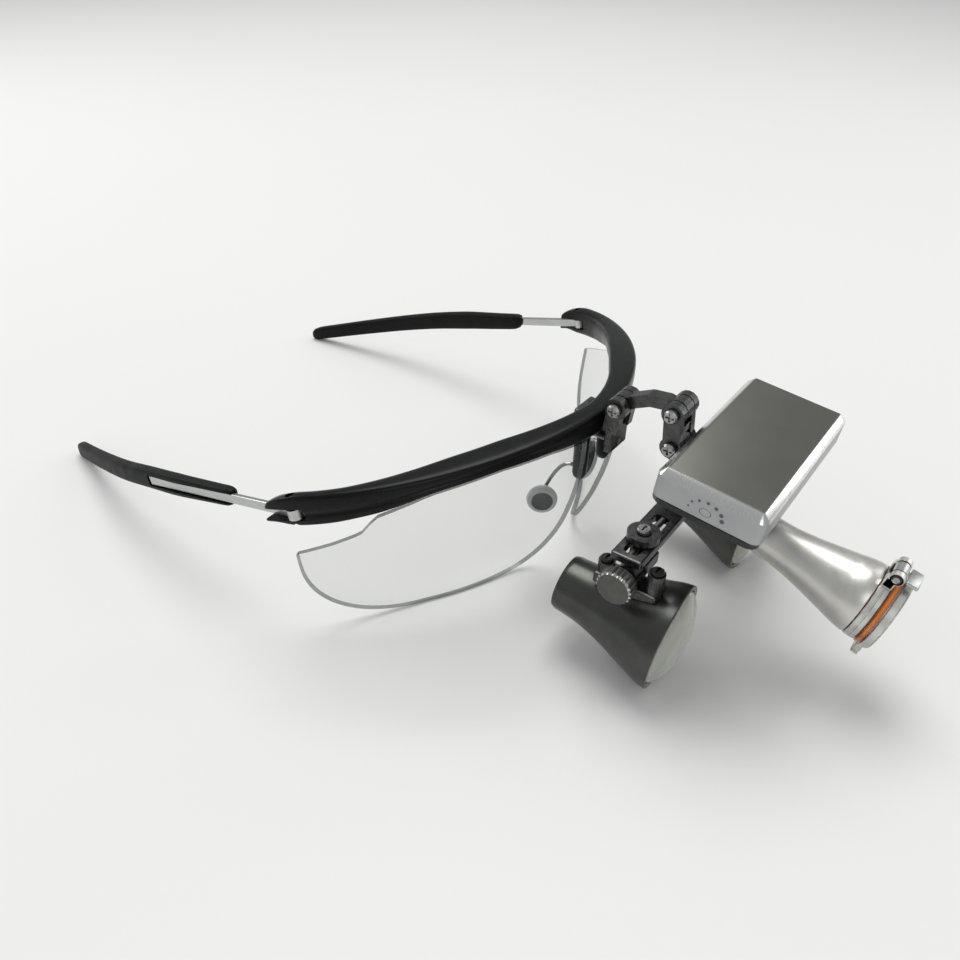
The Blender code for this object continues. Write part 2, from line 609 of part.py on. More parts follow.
def lamp(bracket):
    """Cone that holds the light source, then the front ring, then the flip-up filter."""
    y, z = LAMP_START
    aim = Vector((0, -cos(LAMP_PITCH), -sin(LAMP_PITCH)))
    start = at(0, y, z)
    outer = [(5.4, 0), (5.6, 2.0), (5.8, 7.0), (6.7, 13.0), (8.2, 20.0), (9.5, 26.0), (9.9, LAMP_LENGTH)]
    inner = [(9.0, LAMP_LENGTH), (8.6, 26.0), (7.2, 19.0), (5.3, 12.0), (4.7, 6.0), (4.7, 1.6), (1.6, 1.6), (1.6, 0)]
    lathe("lamp_barrel", (outer + inner)[::-1], SANDBLASTED, start, aim, steps=20)
    cut(bracket, lathe("lamp_room", ((0, 12.0), (7.0, 12.0), (6.1, 6.0), (6.0, -GAP), (0, -GAP)), GUNMETAL,
                       start, aim, steps=20, closed=False))
    lathe("lamp_led_module", ((0, 6.2), (2.0, 6.2), (2.0, 4.6), (4.3, 4.6), (4.3, 2.0), (0, 2.0)), BOARD, start,
          aim, steps=16, closed=False)
    lathe("collimator_lens", ((0, 25.4), (4.0, 25.2), (6.6, 24.4), (7.4, 23.4), (6.4, 20.0), (4.4, 13.6),
                              (2.6, 8.6), (0, 8.0)), CLEAR, start, aim, steps=20, closed=False)
    ring_start = start + aim * ((LAMP_LENGTH + GAP) * MM)
    lathe("lamp_ring", ((9.9, 0), (10.0, 2.4), (9.6, 2.8), (8.6, 2.8), (8.6, 0))[::-1], SANDBLASTED, ring_start,
          aim, steps=16)
    hinge_filter(ring_start, aim)


def hinge_filter(ring_start, aim):
    up = Vector((0, -sin(LAMP_PITCH), cos(LAMP_PITCH)))
    tilt = aim.to_track_quat("Z", "Y")
    gap = 2.8 + GAP
    face = ring_start + aim * (gap * MM)
    ring = lathe("filter_frame", ((10.3, 1.5), (10.3, 3.2), (9.9, 3.6), (8.2, 3.6), (8.2, 1.5))[::-1], SILVER,
                 face, aim, steps=28)
    hinge = face + up * (12.6 * MM) - aim * (1.0 * MM)
    weld(ring, rod("filter_knuckle", 1.7, 3.6, hinge, (1, 0, 0), SILVER, sides=16))
    plates = (("neck", (3.4, 3.0, 1.8), 10.9, 2.45), ("stalk", (3.4, 1.6, 3.4), 12.0, 1.5),
              ("thumb", (6.2, 1.1, 3.0), 12.5, 2.55), ("tab", (4.4, 5.2, 2.0), -12.5, 2.6))
    for name, size, rise, out in plates:
        plate = block("filter_" + name, size, face + up * (rise * MM) + aim * (out * MM), SILVER)
        plate.rotation_euler = tilt.to_euler()
        weld(ring, plate)
    cut(ring, rod("filter_bore", 1.1, 6, hinge, (1, 0, 0), SILVER, sides=12))
    lathe("orange_filter", ((0, 1.2), (10.1, 1.2), (10.1, 0), (0, 0)), ORANGE, face, aim, steps=24,
          closed=False)
    lamp_ring = bpy.data.objects["lamp_ring"]
    for label, side in SIDES:
        foot = block("ring_ear_" + label, (1.8, 3.0, 2.6), hinge - up * (2.0 * MM) - aim * (0.8 * MM)
                     + Vector((side * 3.1 * MM, 0, 0)), SANDBLASTED)
        foot.rotation_euler = tilt.to_euler()
        weld(lamp_ring, foot)
        tip = rod("ring_boss_" + label, 1.7, 1.8, hinge + Vector((side * 3.1 * MM, 0, 0)), (1, 0, 0), SANDBLASTED,
                  sides=16)
        weld(lamp_ring, tip)
    cut(lamp_ring, rod("ring_bore", 1.1, 12, hinge, (1, 0, 0), SANDBLASTED, sides=12))
    rod("filter_hinge_pin", 0.8, 8.2, hinge, (1, 0, 0), STEEL, sides=12)


for old in list(bpy.data.objects):
    bpy.data.objects.remove(old)

PARTS = collection("dental_loupes")
CUTTERS = collection("cutters")
CUTTERS.hide_render = True

BLACK_GLOSS = material("brow_black", (0.012, 0.012, 0.013), 0.0, 0.28)
BLACK_SATIN = material("housing_black", (0.02, 0.02, 0.022), 0.0, 0.45)
RUBBER = material("sleeve_rubber", (0.015, 0.015, 0.016), 0.0, 0.75)
SILVER = material("strip_silver", (0.55, 0.56, 0.56), 1.0, 0.32)
STEEL = material("screw_steel", (0.45, 0.45, 0.46), 1.0, 0.3)
GUNMETAL = material("gunmetal", (0.16, 0.16, 0.17), 0.9, 0.38)
ALUMINIUM = material("cover_aluminium", (0.33, 0.33, 0.31), 0.9, 0.42)
SANDBLASTED = material("lamp_silver", (0.5, 0.5, 0.49), 0.95, 0.5)
CLEAR = material("clear_lens", (0.92, 0.96, 0.95), 0.0, 0.03, 0.3)
ORANGE = material("orange_filter", (0.85, 0.3, 0.05), 0.0, 0.1, 0.7)
BOARD = material("board_green", (0.03, 0.16, 0.07), 0.0, 0.5)
BATTERY_WRAP = material("battery_wrap", (0.3, 0.32, 0.36), 0.3, 0.4)

brow_frame()
bridge_bracket()
links()
carrier()
for label, side in SIDES:
    lens(label, side)
    nose_support(label, side)
    temple(label, side)
    slider(label, side)
    knob(label, side)
    loupe(label, side)
headlight()
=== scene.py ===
"""Looks of the flip-up dental loupes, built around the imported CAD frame.

Lengths marked MM are millimetres. +X is the wearer's left, -Y is ahead of the wearer, +Z is up.
"""

import json
from math import cos, pi, radians, sin

import bmesh
import bpy
from mathutils import Matrix, Vector
from numpy import interp


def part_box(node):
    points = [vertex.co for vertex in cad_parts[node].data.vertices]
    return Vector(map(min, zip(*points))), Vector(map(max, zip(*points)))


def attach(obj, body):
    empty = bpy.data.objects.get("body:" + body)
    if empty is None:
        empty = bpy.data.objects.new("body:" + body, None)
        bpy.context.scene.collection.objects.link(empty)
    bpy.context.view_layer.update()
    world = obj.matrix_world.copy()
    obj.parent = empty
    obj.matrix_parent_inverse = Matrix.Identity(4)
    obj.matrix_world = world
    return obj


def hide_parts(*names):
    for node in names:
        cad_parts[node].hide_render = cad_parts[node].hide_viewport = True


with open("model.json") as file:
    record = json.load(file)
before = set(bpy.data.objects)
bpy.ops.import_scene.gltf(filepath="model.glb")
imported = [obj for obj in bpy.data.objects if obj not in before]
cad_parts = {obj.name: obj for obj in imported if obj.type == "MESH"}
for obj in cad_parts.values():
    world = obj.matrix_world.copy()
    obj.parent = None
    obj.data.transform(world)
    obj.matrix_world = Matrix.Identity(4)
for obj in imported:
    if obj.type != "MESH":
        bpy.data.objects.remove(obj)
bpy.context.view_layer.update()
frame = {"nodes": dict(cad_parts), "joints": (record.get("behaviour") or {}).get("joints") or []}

MM = 0.001
SHIFT_Y = 13.525  # mm from the frame's middle back to the rear end of the brow bar, as in the CAD
SIDES = (("right", -1), ("left", 1))

# Wrap of the spectacles, as in the CAD
PLAN_HALF_WIDTH = 71.8
PLAN_DEPTH = 56.5
PLAN_POWER = 1.68
BAR_TOP_AT_TEMPLE = 43.0
BAR_RISE = 0.22
BAR_FRONT = 1.9
LENS_THICKNESS = 1.5
LENS_DROP_RADIUS = 80.0
LENS_FORWARD = 0.8
LENS_FLARE = 4.0
LENS_BOTTOM = 0.4
HINGE_LEAN = radians(-15)
LEG_X = 6.5
LEG_Y = -54.2
LEG_FOOT = 33.7
LEG_HEIGHT = 15.2
LEG_HOLE = (-52.0, 37.4)

# Temples: the fork's slot, and the channel and window that hold the strip in its sleeve
FORK_SLOT = (12, 19.3, 3.4)
FORK_SLOT_BACK = 6.1
FORK_PIN_RADIUS = 1.3
CHANNEL_SIZE = (2.0, 43.1, 3.4)
WINDOW_SIZE = (4.0, 43.1, 3.4)
CHANNEL_BACK = 43.55
WINDOW_OUT = 2.0
SLEEVE_START = 15.5
SLEEVE_LENGTH = 100.5

# Telescopes
LOUPE_PITCH = radians(6.5)
LOUPE_YAW = radians(2.5)
EYE = (29.8, -65.4, 17.87)
BARREL_LENGTH = 31.0
BARREL_PROFILE = ((0.0, 7.4), (1.0, 7.7), (8.0, 8.3), (15.0, 9.9), (22.0, 12.2), (28.0, 14.1), (31.0, 14.6))
BARREL_WALL = 1.2
KNOB_START = 25.6
FLUTES = 22
FLUTE_DEPTH = 0.42
FLUTED_RADIUS = 4.25
FLUTES_FROM = 10.9
FLUTES_TO = 14.3

# Headlight
BOX_SIZE = (57.0, 27.4, 8.2)
BOX_PITCH = radians(6.4)
LAMP_START = (-104.5, 34.6)
LAMP_PITCH = radians(14.4)
LAMP_LENGTH = 29.0
COLLAR_START = 23.5
RING_LENGTH = 2.8
EAR_ACROSS = 3.1
COVER_WALL = 1.4
COVER_ROOM_DROP = 1.96
GAP = 0.3

# Camera: place in mm, angles in degrees, focal length in mm
CAMERA_SPOT = (-185.9, -147.05, 174.34)
CAMERA_AZIMUTH = 35.21
CAMERA_DOWN = 35.42
CAMERA_ROLL = 1.31
CAMERA_LENS = 32.82

JOINT = {j["name"]: Vector(j["pos_m"]) for j in frame["joints"] if "pos_m" in j}


def at(x, y, z):
    """A place in the CAD's own millimetres, as metres in the frame."""
    return Vector((x, y + SHIFT_Y, z)) * MM


# ---------------------------------------------------------------- materials

def nodes_of(name):
    """A new material, its node tree and its shader."""
    made = bpy.data.materials.new(name)
    made.use_nodes = True
    tree = made.node_tree
    return made, tree, tree.nodes["Principled BSDF"]


def noise(tree, scale, detail=4.0, stretch=None, roughness=0.55):
    place = tree.nodes.new("ShaderNodeTexCoord")
    mapped = tree.nodes.new("ShaderNodeMapping")
    mapped.inputs["Scale"].default_value = stretch or (1, 1, 1)
    tree.links.new(place.outputs["Object"], mapped.inputs["Vector"])
    made = tree.nodes.new("ShaderNodeTexNoise")
    made.inputs["Scale"].default_value = scale
    made.inputs["Detail"].default_value = detail
    made.inputs["Roughness"].default_value = roughness
    tree.links.new(mapped.outputs["Vector"], made.inputs["Vector"])
    return made.outputs["Fac"]


def ramp(tree, source, low, high, start=0.35, end=0.65):
    made = tree.nodes.new("ShaderNodeValToRGB")
    made.color_ramp.elements[0].position = start
    made.color_ramp.elements[1].position = end
    made.color_ramp.elements[0].color = (*low, 1)
    made.color_ramp.elements[1].color = (*high, 1)
    tree.links.new(source, made.inputs["Fac"])
    return made.outputs["Color"]


def spread(tree, source, low, high):
    """Turn a noise value into a number from low to high."""
    made = tree.nodes.new("ShaderNodeMapRange")
    made.inputs["From Min"].default_value = 0.3
    made.inputs["From Max"].default_value = 0.7
    made.inputs["To Min"].default_value = low
    made.inputs["To Max"].default_value = high
    tree.links.new(source, made.inputs["Value"])
    return made.outputs["Result"]


def bump(tree, shader, source, depth, strength=1.0):
    made = tree.nodes.new("ShaderNodeBump")
    made.inputs["Distance"].default_value = depth * MM
    made.inputs["Strength"].default_value = strength
    tree.links.new(source, made.inputs["Height"])
    tree.links.new(made.outputs["Normal"], shader.inputs["Normal"])


def finish(name, color, metallic, rough, vary=0.12, patch=180, grain=4000, depth=0.004,
           rough_vary=0.05, stretch=None, gloss=0.5):
    """A solid finish: patchy colour, patchy roughness and a fine grain in the surface."""
    made, tree, shader = nodes_of(name)
    low = tuple(c * (1 - vary) for c in color)
    high = tuple(min(1, c * (1 + vary)) for c in color)
    tree.links.new(ramp(tree, noise(tree, patch, 6, stretch), low, high), shader.inputs["Base Color"])
    wear = noise(tree, patch * 2.3, 5, stretch)
    tree.links.new(spread(tree, wear, rough - rough_vary, rough + rough_vary), shader.inputs["Roughness"])
    shader.inputs["Metallic"].default_value = metallic
    shader.inputs["Specular IOR Level"].default_value = gloss
    bump(tree, shader, noise(tree, grain, 3, stretch), depth)
    made.diffuse_color = (*color, 1)
    return made


def clear(name, color, alpha, rough=0.02, ior=1.5, transmission=0.0, tint=None, coat=0.0):
    """A clear piece with faint smears in its gloss."""
    made, tree, shader = nodes_of(name)
    shader.inputs["Base Color"].default_value = (*color, 1)
    if tint:
        tree.links.new(ramp(tree, noise(tree, 60, 3), color, tint), shader.inputs["Base Color"])
    tree.links.new(spread(tree, noise(tree, 240, 5), rough, rough + 0.03), shader.inputs["Roughness"])
    shader.inputs["IOR"].default_value = ior
    shader.inputs["Alpha"].default_value = alpha
    shader.inputs["Transmission Weight"].default_value = transmission
    shader.inputs["Coat Weight"].default_value = coat
    made.diffuse_color = (*color, alpha)
    return made


BROW = finish("brow_nylon", (0.004, 0.004, 0.0045), 0.0, 0.30, patch=90, grain=2600, depth=0.003, gloss=0.17)
GROOVE = finish("brow_groove", (0.004, 0.004, 0.004), 0.0, 0.6, grain=2600)
RUBBER = finish("sleeve_rubber", (0.005, 0.005, 0.0055), 0.0, 0.5, patch=120, grain=3200, depth=0.008,
                gloss=0.14)
PAD = finish("pad_silicone", (0.008, 0.009, 0.012), 0.0, 0.35, patch=300, grain=3000, depth=0.004)
PAD_RIM = clear("pad_rim", (0.55, 0.58, 0.58), 0.85, rough=0.2, tint=(0.48, 0.50, 0.50), coat=0.5)
STRIP = finish("strip_silver", (0.50, 0.51, 0.50), 1.0, 0.30, vary=0.08, patch=260, grain=1800, depth=0.003,
               stretch=(6, 0.35, 6))
STEEL = finish("bright_steel", (0.36, 0.355, 0.35), 1.0, 0.30, vary=0.10, patch=400, grain=5000, depth=0.002)
WIRE = finish("pad_wire", (0.30, 0.30, 0.30), 1.0, 0.3, patch=700, grain=5000)
OXIDE = finish("black_oxide", (0.03, 0.03, 0.032), 0.7, 0.38, patch=700, grain=5000)
GUNMETAL = finish("gunmetal", (0.085, 0.085, 0.085), 0.88, 0.31, vary=0.22, patch=420, grain=6500,
                  depth=0.004, rough_vary=0.08)
# Bright metal for bevel and chamfer faces: partly worn bare edges, partly a painted highlight along the
# edges of the dark parts.
EDGE_WEAR_AND_HIGHLIGHT = finish("edge_wear_and_highlight", (0.42, 0.42, 0.41), 1.0, 0.28, vary=0.3, patch=900, grain=6000)
BARREL = finish("barrel_anodised", (0.078, 0.080, 0.075), 0.88, 0.31, vary=0.10, patch=160, grain=7500,
                depth=0.005, rough_vary=0.04)
BARREL_BORE = finish("barrel_bore", (0.012, 0.012, 0.012), 0.2, 0.6, patch=300, grain=4000)
KNOB = finish("knob_steel", (0.105, 0.105, 0.098), 0.85, 0.38, vary=0.1, patch=500, grain=6000)
LAMP = finish("lamp_sandblasted", (0.68, 0.67, 0.64), 1.0, 0.37, vary=0.06, patch=220, grain=3600,
              depth=0.014, rough_vary=0.06)
COVER = finish("cover_satin", (0.125, 0.125, 0.112), 0.62, 0.40, vary=0.05, patch=45, grain=5200,
               depth=0.004, rough_vary=0.03)
COVER_END = finish("cover_end", (0.40, 0.40, 0.41), 0.85, 0.40, vary=0.05, patch=120, grain=5200)
CHAMFER = finish("cover_chamfer", (0.70, 0.70, 0.69), 1.0, 0.22, vary=0.05, patch=500, grain=3000,
                 depth=0.002, stretch=(0.2, 6, 6))
HOUSING = finish("housing_black", (0.012, 0.012, 0.013), 0.0, 0.40, patch=120, grain=3000, depth=0.006)
MARK = finish("mark_print", (0.10, 0.10, 0.105), 0.1, 0.5, patch=600, grain=5000)
BOARD = finish("board", (0.02, 0.10, 0.05), 0.0, 0.5)
CELL = finish("cell_wrap", (0.10, 0.14, 0.24), 0.0, 0.4)
LENS = clear("lens_clear", (0.34, 0.36, 0.34), 0.11, tint=(0.26, 0.29, 0.28), coat=0.6)
# Dark, mostly opaque colour for the lens's edge faces: painted shade standing in for the dark line along a
# clear edge.
LENS_EDGE_SHADE = clear("lens_edge_painted_shade", (0.07, 0.075, 0.08), 0.75, rough=0.12, tint=(0.16, 0.17, 0.17))
# Pale, partly opaque glass: its slight green-yellow tint is the glass's own, its whiteness a painted
# reflection.
OPTIC = clear("optic_glass", (0.80, 0.81, 0.74), 1.0, transmission=0.62, rough=0.05, ior=1.45, coat=0.3)
OPTIC_RING = clear("optic_ring", (0.80, 0.62, 0.60), 0.85, rough=0.15, tint=(0.72, 0.70, 0.62))
FILTER = clear("filter_orange", (0.90, 0.26, 0.04), 0.92, transmission=0.75, rough=0.05,
               tint=(0.80, 0.20, 0.03))


# ---------------------------------------------------------------- mesh helpers

def piece(name, verts, faces, mats, body, replaced=(), face_mats=None, slot=None, angle=32):
    mesh = bpy.data.meshes.new(name)
    mesh.from_pydata([tuple(v) for v in verts], [], faces)
    shape = bmesh.new()
    shape.from_mesh(mesh)
    shape.faces.ensure_lookup_table()
    if face_mats:
        for face, index in zip(shape.faces, face_mats):
            face.material_index = index
    bmesh.ops.remove_doubles(shape, verts=shape.verts, dist=1e-6)
    bmesh.ops.recalc_face_normals(shape, faces=shape.faces)
    shape.to_mesh(mesh)
    shape.free()
    for mat in mats:
        mesh.materials.append(mat)
    made = bpy.data.objects.new(name, mesh)
    bpy.context.scene.collection.objects.link(made)
    soften(made, angle)
    if body:
        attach(made, body)
    if replaced:
        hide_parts(*replaced)
    return made


def soften(made, angle=32):
    for face in made.data.polygons:
        face.use_smooth = True
    made.data.set_sharp_from_angle(angle=radians(angle))


def rings(sections, closed_ends=True, looped=False):
    """Vertices and quads of a skin over rings that all have the same number of points."""
    verts = [p for ring in sections for p in ring]
    count = len(sections[0])
    total = len(sections)
    faces = []
    for a in range(total if looped else total - 1):
        b = (a + 1) % total
        for i in range(count):
            j = (i + 1) % count
            faces.append((a * count + i, a * count + j, b * count + j, b * count + i))
    if closed_ends and not looped:
        faces.append(tuple(range(count))[::-1])
        faces.append(tuple((total - 1) * count + i for i in range(count)))
    return verts, faces


def curve_through(points, per_span=6):
    """Catmull-Rom points through a list of tuples."""
    pts = [Vector(p) for p in points]
    out = []
    for i in range(len(pts) - 1):
        before = pts[max(i - 1, 0)]
        after = pts[min(i + 2, len(pts) - 1)]
        for k in range(per_span):
            t = k / per_span
            out.append(0.5 * (2 * pts[i] + (pts[i + 1] - before) * t
                              + (2 * before - 5 * pts[i] + 4 * pts[i + 1] - after) * t ** 2
                              + (3 * pts[i] - before - 3 * pts[i + 1] + after) * t ** 3))
    out.append(pts[-1])
    return [tuple(p) for p in out]


def axis_frame(origin, axis, up=Vector((0, 0, 1))):
    """Matrix whose Z runs along axis and whose Y is nearest to up."""
    z = Vector(axis).normalized()
    x = up.cross(z).normalized()
    y = z.cross(x)
    made = Matrix((x, y, z)).transposed().to_4x4()
    made.translation = origin
    return made


def lathe(name, profile, place, mats, body, segments=96, band_mats=None, closed=True, shape=None, **more):
    """Turn a (radius, height) outline, in mm, about the place's Z. shape(turn, radius) may modulate it."""
    sections = []
    for r, h in profile:
        ring = []
        for k in range(segments):
            turn = 2 * pi * k / segments
            reach = shape(turn, r, h) if shape else r
            ring.append(place @ (Vector((reach * cos(turn), reach * sin(turn), h)) * MM))
        sections.append(ring)
    verts, faces = rings(sections, closed_ends=not closed, looped=closed)
    face_mats = None
    if band_mats:
        spans = len(profile) if closed else len(profile) - 1
        face_mats = [band_mats[i] for i in range(spans) for _ in range(segments)]
        face_mats += [band_mats[0], band_mats[-1]]
    return piece(name, verts, faces, mats, body, face_mats=face_mats, **more)


def rounded_outline(width, depth, radius, steps=8):
    points = []
    for cx, cy, start in ((1, 1, 0), (-1, 1, 90), (-1, -1, 180), (1, -1, 270)):
        for k in range(steps + 1):
            turn = radians(start + 90 * k / steps)
            points.append((cx * (width / 2 - radius) + radius * cos(turn),
                           cy * (depth / 2 - radius) + radius * sin(turn)))
    return points


def boxy(name, width, depth, levels, radius, place, mats, body, band_mats=None, **more):
    """A rounded box from (height, inset) levels, bottom to top, in mm."""
    sections = []
    for height, inset in levels:
        outline = rounded_outline(width - 2 * inset, depth - 2 * inset, max(radius - inset, 0.4))
        sections.append([place @ (Vector((x, y, height)) * MM) for x, y in outline])
    verts, faces = rings(sections)
    face_mats = None
    if band_mats:
        count = len(sections[0])
        face_mats = [band_mats[i] for i in range(len(levels) - 1) for _ in range(count)]
        face_mats += [band_mats[0], band_mats[-1]]
    return piece(name, verts, faces, mats, body, face_mats=face_mats, **more)


def carve(made, cutter):
    """Cut a helper solid out of a piece, then drop the helper."""
    step = made.modifiers.new("carve", "BOOLEAN")
    step.object = cutter
    step.operation = "DIFFERENCE"
    step.solver = "EXACT"
    settle(made)
    bpy.data.objects.remove(cutter)


def settle(made):
    """Apply the piece's modifiers to its mesh."""
    graph = bpy.context.evaluated_depsgraph_get()
    mesh = bpy.data.meshes.new_from_object(made.evaluated_get(graph))
    made.modifiers.clear()
    made.data = mesh


def helper(verts, faces, mat=None):
    """A closed solid used only to cut."""
    return piece("helper", verts, faces, [mat or GROOVE], None)


def brick(size, place):
    """Skin of a plain block, in mm, about the place's origin."""
    outline = [(-1, -1), (1, -1), (1, 1), (-1, 1)]
    half = Vector(size) / 2
    low, high = ([place @ (Vector((x * half.x, y * half.y, z * half.z)) * MM) for x, y in outline]
                 for z in (-1, 1))
    return rings([low, high])


def drum(radius, length, place, segments=32):
    """Skin of a plain cylinder, in mm, along the place's Z."""
    turns = [2 * pi * k / segments for k in range(segments)]
    ends = [[place @ (Vector((radius * cos(turn), radius * sin(turn), z)) * MM) for turn in turns]
            for z in (-length / 2, length / 2)]
    return rings(ends)


# ---------------------------------------------------------------- spectacles

def plan(angle, inset=0.0):
    """Point of the wrap's outline, from the temple at 0 to the bridge at a quarter turn."""
    across = (PLAN_HALF_WIDTH - inset) * cos(angle) ** (2 / PLAN_POWER)
    ahead = -(PLAN_DEPTH - inset) * sin(angle) ** (2 / PLAN_POWER)
    return across, ahead


def plan_normal(angle, inset=0.0):
    before = Vector(plan(min(angle + 0.02, pi / 2), inset))
    after = Vector(plan(max(angle - 0.02, 0.02), inset))
    along = (after - before).normalized()
    return Vector((along.y, -along.x))


def bar_top(ahead):
    return BAR_TOP_AT_TEMPLE - BAR_RISE * ahead - interp(-ahead, (0, 4, 9), (3.4, 1.2, 0))


def bar_height(ahead):
    return interp(-ahead, (0, 9, 18, 27, 36, 46, 52, 56.5), (5.6, 9.4, 9.0, 7.8, 5.2, 4.2, 5.0, 7.0))


def bar_ring(angle, side):
    """Cross-section of the brow bar: crowned top, grooved outer face, rounded lower lip."""
    across, ahead = plan(angle)
    normal = plan_normal(angle)
    top = bar_top(ahead)
    height = bar_height(ahead)
    deep = interp(-ahead, (0, 12, 20, 30, 40, 48, 56.5), (4.0, 4.0, 4.6, 6.2, 8.0, 8.2, 6.4))
    groove = interp(-ahead, (9, 14, 48, 53), (0.0, 0.5, 0.5, 0.0))
    outline = ((0.0, 0.10), (0.10, 0.0), (0.62, 0.0), (0.92, 0.02), (1.0, 0.10),
               (1.0, 0.30), (1.0 - groove / deep, 0.36), (1.0 - groove / deep, 0.44), (1.0, 0.50),
               (1.0, 0.78), (0.95, 0.93), (0.84, 0.99), (0.62, 1.0), (0.30, 0.98), (0.08, 0.93), (0.0, 0.82))
    ring = []
    for out, up in outline:
        reach = BAR_FRONT - deep + out * deep
        z = top - height + up * height
        ring.append(at(side * (across + normal.x * reach), ahead + normal.y * reach, z))
    return ring


def temple_frame(side):
    """Place of a temple's hinge, leaning as the fork does. The strip runs along its Y."""
    place = Matrix.Rotation(HINGE_LEAN, 4, "X")
    place.translation = JOINT["temple_left_fold" if side > 0 else "temple_right_fold"]
    return place


def brow_frame():
    steps = 44
    angles = [radians(90 - 89 * i / steps) for i in range(steps + 1)]
    sections = [bar_ring(a, -1) for a in reversed(angles)] + [bar_ring(a, 1) for a in angles[1:]]
    verts, faces = rings(sections)
    bar = piece("brow_bar", verts, faces, [BROW], "spectacle_frame", ("brow_frame",), slot="brow_black",
                angle=50)
    smooth = bar.modifiers.new("round", "SUBSURF")
    smooth.levels = 1
    smooth.render_levels = 1
    settle(bar)
    for label, side in SIDES:
        place = temple_frame(side)
        shift = Matrix.Translation(Vector((0, FORK_SLOT_BACK * MM, 0)))
        carve(bar, helper(*brick(FORK_SLOT, place @ shift)))
        carve(bar, helper(*drum(FORK_PIN_RADIUS, FORK_SLOT[0], place)))
        leg(label, side)
    soften(bar, 40)
    return bar


def leg(label, side):
    """Bridge leg that carries a nose pad arm: a tapered tongue with a rounded foot."""
    sections = []
    for t in (0.0, 0.04, 0.12, 0.4, 0.8, 1.0):
        z = LEG_FOOT + LEG_HEIGHT * t
        width = interp(t, (0, 0.04, 0.12, 1), (1.6, 2.6, 3.2, 4.2))
        depth = interp(t, (0, 0.04, 0.12, 1), (2.0, 3.2, 4.0, 4.2))
        outline = rounded_outline(width, depth, min(width, depth) * 0.42, 5)
        sections.append([at(side * LEG_X + x, LEG_Y + y, z) for x, y in outline])
    verts, faces = rings(sections)
    made = piece("bridge_leg_" + label, verts, faces, [BROW], "spectacle_frame", slot="brow_black", angle=45)
    hole = axis_frame(at(side * LEG_X, *LEG_HOLE), (0, 1, 0))
    carve(made, helper(*drum(1.2, 5, hole, 20)))
    soften(made, 45)


def lens(label, side):
    """Half-rim lens with a polished outline; its edge faces are painted dark, a painted shade for the dark
    line along a clear edge.
    """
    columns = 56
    rows = 14
    front = []
    back = []
    for i in range(columns + 1):
        t = i / columns
        along = (1 - cos(pi * t)) / 2
        angle = radians(interp(along, (0, 0.25, 1), (80.0, 68.0, 13.5)))
        ahead = plan(angle)[1]
        top = bar_top(ahead) - bar_height(ahead) - GAP - 0.1
        step = min(max((along - 0.74) / 0.06, 0), 1)
        top -= 4.0 * step * step * (3 - 2 * step) + interp(along, (0.80, 1), (0, 3.0))
        power = interp(along, (0, 0.5, 1), (3.8, 3.2, 2.7))
        belly = max(1 - abs(2 * along - 1) ** power, 0) ** (1 / power)
        end_z = interp(along, (0, 1), (27.0, 25.0))
        bottom = end_z - (end_z - LENS_BOTTOM) * belly
        if i in (0, columns):
            bottom = end_z
        fronts = []
        backs = []
        for j in range(rows + 1):
            z = top + (bottom - top) * j / rows
            inset = (bar_top(ahead) - 8 - z) ** 2 / (2 * LENS_DROP_RADIUS)
            inset -= interp(along, (0, 0.6, 1), (LENS_FORWARD, LENS_FORWARD, LENS_FLARE))
            x, y = plan(angle, inset)
            out = plan_normal(angle, inset) * (LENS_THICKNESS / 2)
            fronts.append(at(side * (x + out.x), y + out.y, z))
            backs.append(at(side * (x - out.x), y - out.y, z))
        front.append(fronts)
        back.append(backs)
    sections = [front[i] + back[i][::-1] for i in range(columns + 1)]
    verts, faces = rings(sections)
    count = 2 * (rows + 1)
    # The edge faces take the painted edge shade.
    face_mats = [1 if k % count in (rows, count - 1) else 0 for k in range(columns * count)] + [1, 1]
    return piece("spectacle_lens_" + label, verts, faces, [LENS, LENS_EDGE_SHADE], "spectacle_frame",
                 ("lens_" + label,), face_mats, "clear_lens", 40)


def temple_line(t):
    back = SLEEVE_START + SLEEVE_LENGTH * t
    across = interp(t, (0, 0.25, 0.5, 0.75, 1), (69.6, 69.8, 68.4, 63.8, 57.6))
    fall = interp(t, (0, 0.15, 0.35, 0.6, 0.8, 1), (32.6, 28.5, 23.2, 15.2, 8.6, 2.0))
    return across, back, fall


def sleeve(label, side):
    """Rubber sleeve: flat-sided, soft-edged, with the strip lying in a slot near its front."""
    knots = [temple_line(t) for t in (0, 0.12, 0.25, 0.4, 0.55, 0.7, 0.85, 1)]
    line = curve_through(knots, 8)
    sections = []
    sides = 28
    for i, (x, y, z) in enumerate(line):
        t = i / (len(line) - 1)
        half_height = interp(t, (0, 0.012, 0.04, 0.3, 0.7, 0.96, 0.985, 1),
                             (1.2, 2.2, 2.9, 3.5, 3.1, 2.8, 2.3, 1.4))
        half_width = interp(t, (0, 0.012, 0.04, 0.5, 0.96, 0.985, 1), (0.9, 1.5, 1.9, 2.1, 1.8, 1.4, 0.8))
        ring = []
        for k in range(sides):
            turn = 2 * pi * k / sides
            c, s = cos(turn), sin(turn)
            power = 2 / 3.4
            ring.append(at(side * (x + half_width * abs(c) ** power * (1 if c > 0 else -1)), y,
                           z + half_height * abs(s) ** power * (1 if s > 0 else -1)))
        sections.append(ring)
    verts, faces = rings(sections)
    made = piece("rubber_sleeve_" + label, verts, faces, [RUBBER], "temple_" + label,
                 ("temple_sleeve_" + label,), slot="sleeve_rubber", angle=60)
    place = temple_frame(side)
    channel = place @ Matrix.Translation(Vector((0, CHANNEL_BACK, 0)) * MM)
    carve(made, helper(*brick(CHANNEL_SIZE, channel)))
    window = place @ Matrix.Translation(Vector((side * WINDOW_OUT, CHANNEL_BACK, 0)) * MM)
    carve(made, helper(*brick(WINDOW_SIZE, window)))
    soften(made, 45)


